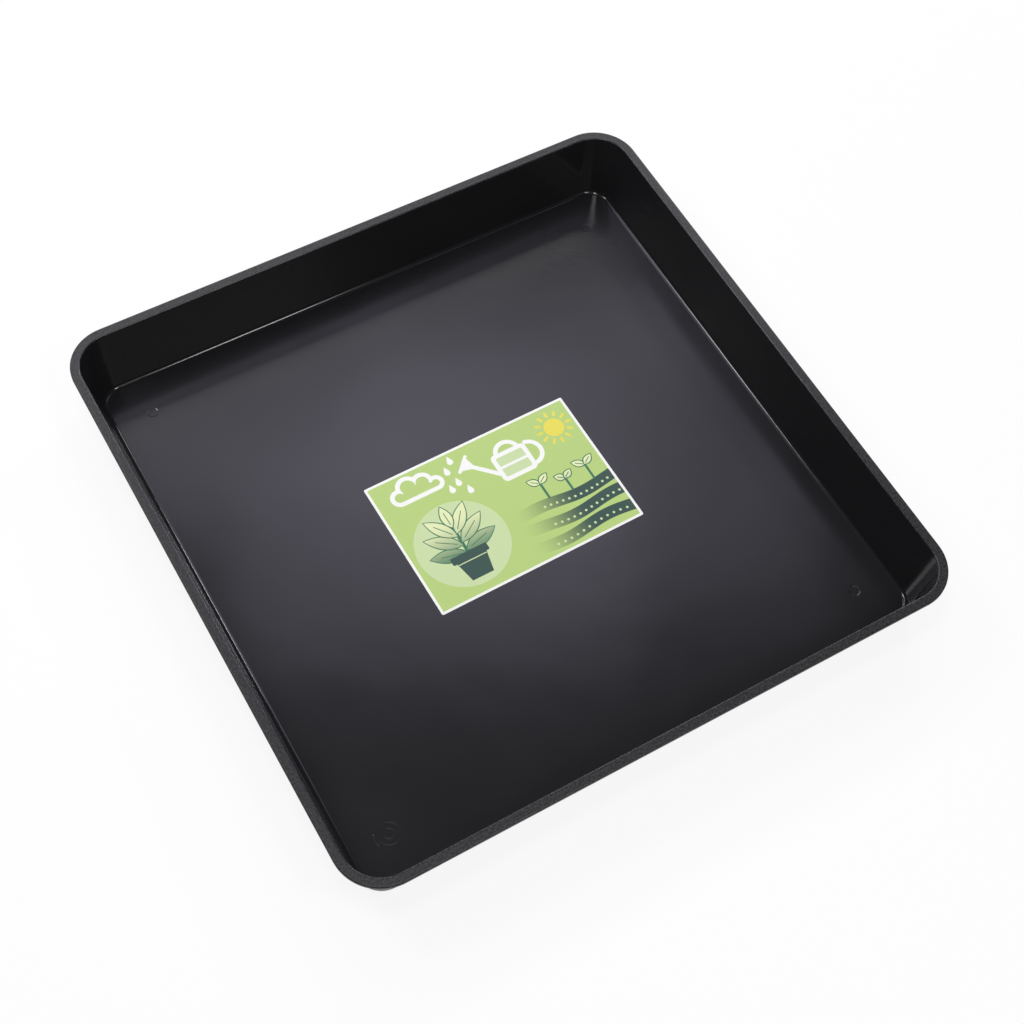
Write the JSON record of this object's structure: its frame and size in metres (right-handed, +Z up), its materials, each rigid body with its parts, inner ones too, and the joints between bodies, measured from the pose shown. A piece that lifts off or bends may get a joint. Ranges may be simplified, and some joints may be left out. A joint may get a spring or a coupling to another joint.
{
  "type": "garden tray",
  "caption": "Square moulded plastic tray with rounded corners, leaning walls and a flat out-turned rim, for standing pots in or potting over; a printed label lies on its floor.",
  "frame": {"origin": "centre of the underside, on the surface that the tray stands on", "axes": "+Z up; X and Y along the two pairs of sides, with the label's long side along X"},
  "size_m": [0.6, 0.6, 0.07],
  "materials": {
    "tray_plastic": "satin black polypropylene, smooth inside, fine spark-eroded grain on the rim and outside",
    "label_paper": "coated paper, printed in greens, semi-gloss"
  },
  "bodies": {
    "root": {"tray": "tray_plastic", "label": "label_paper"}
  },
  "joints": []
}
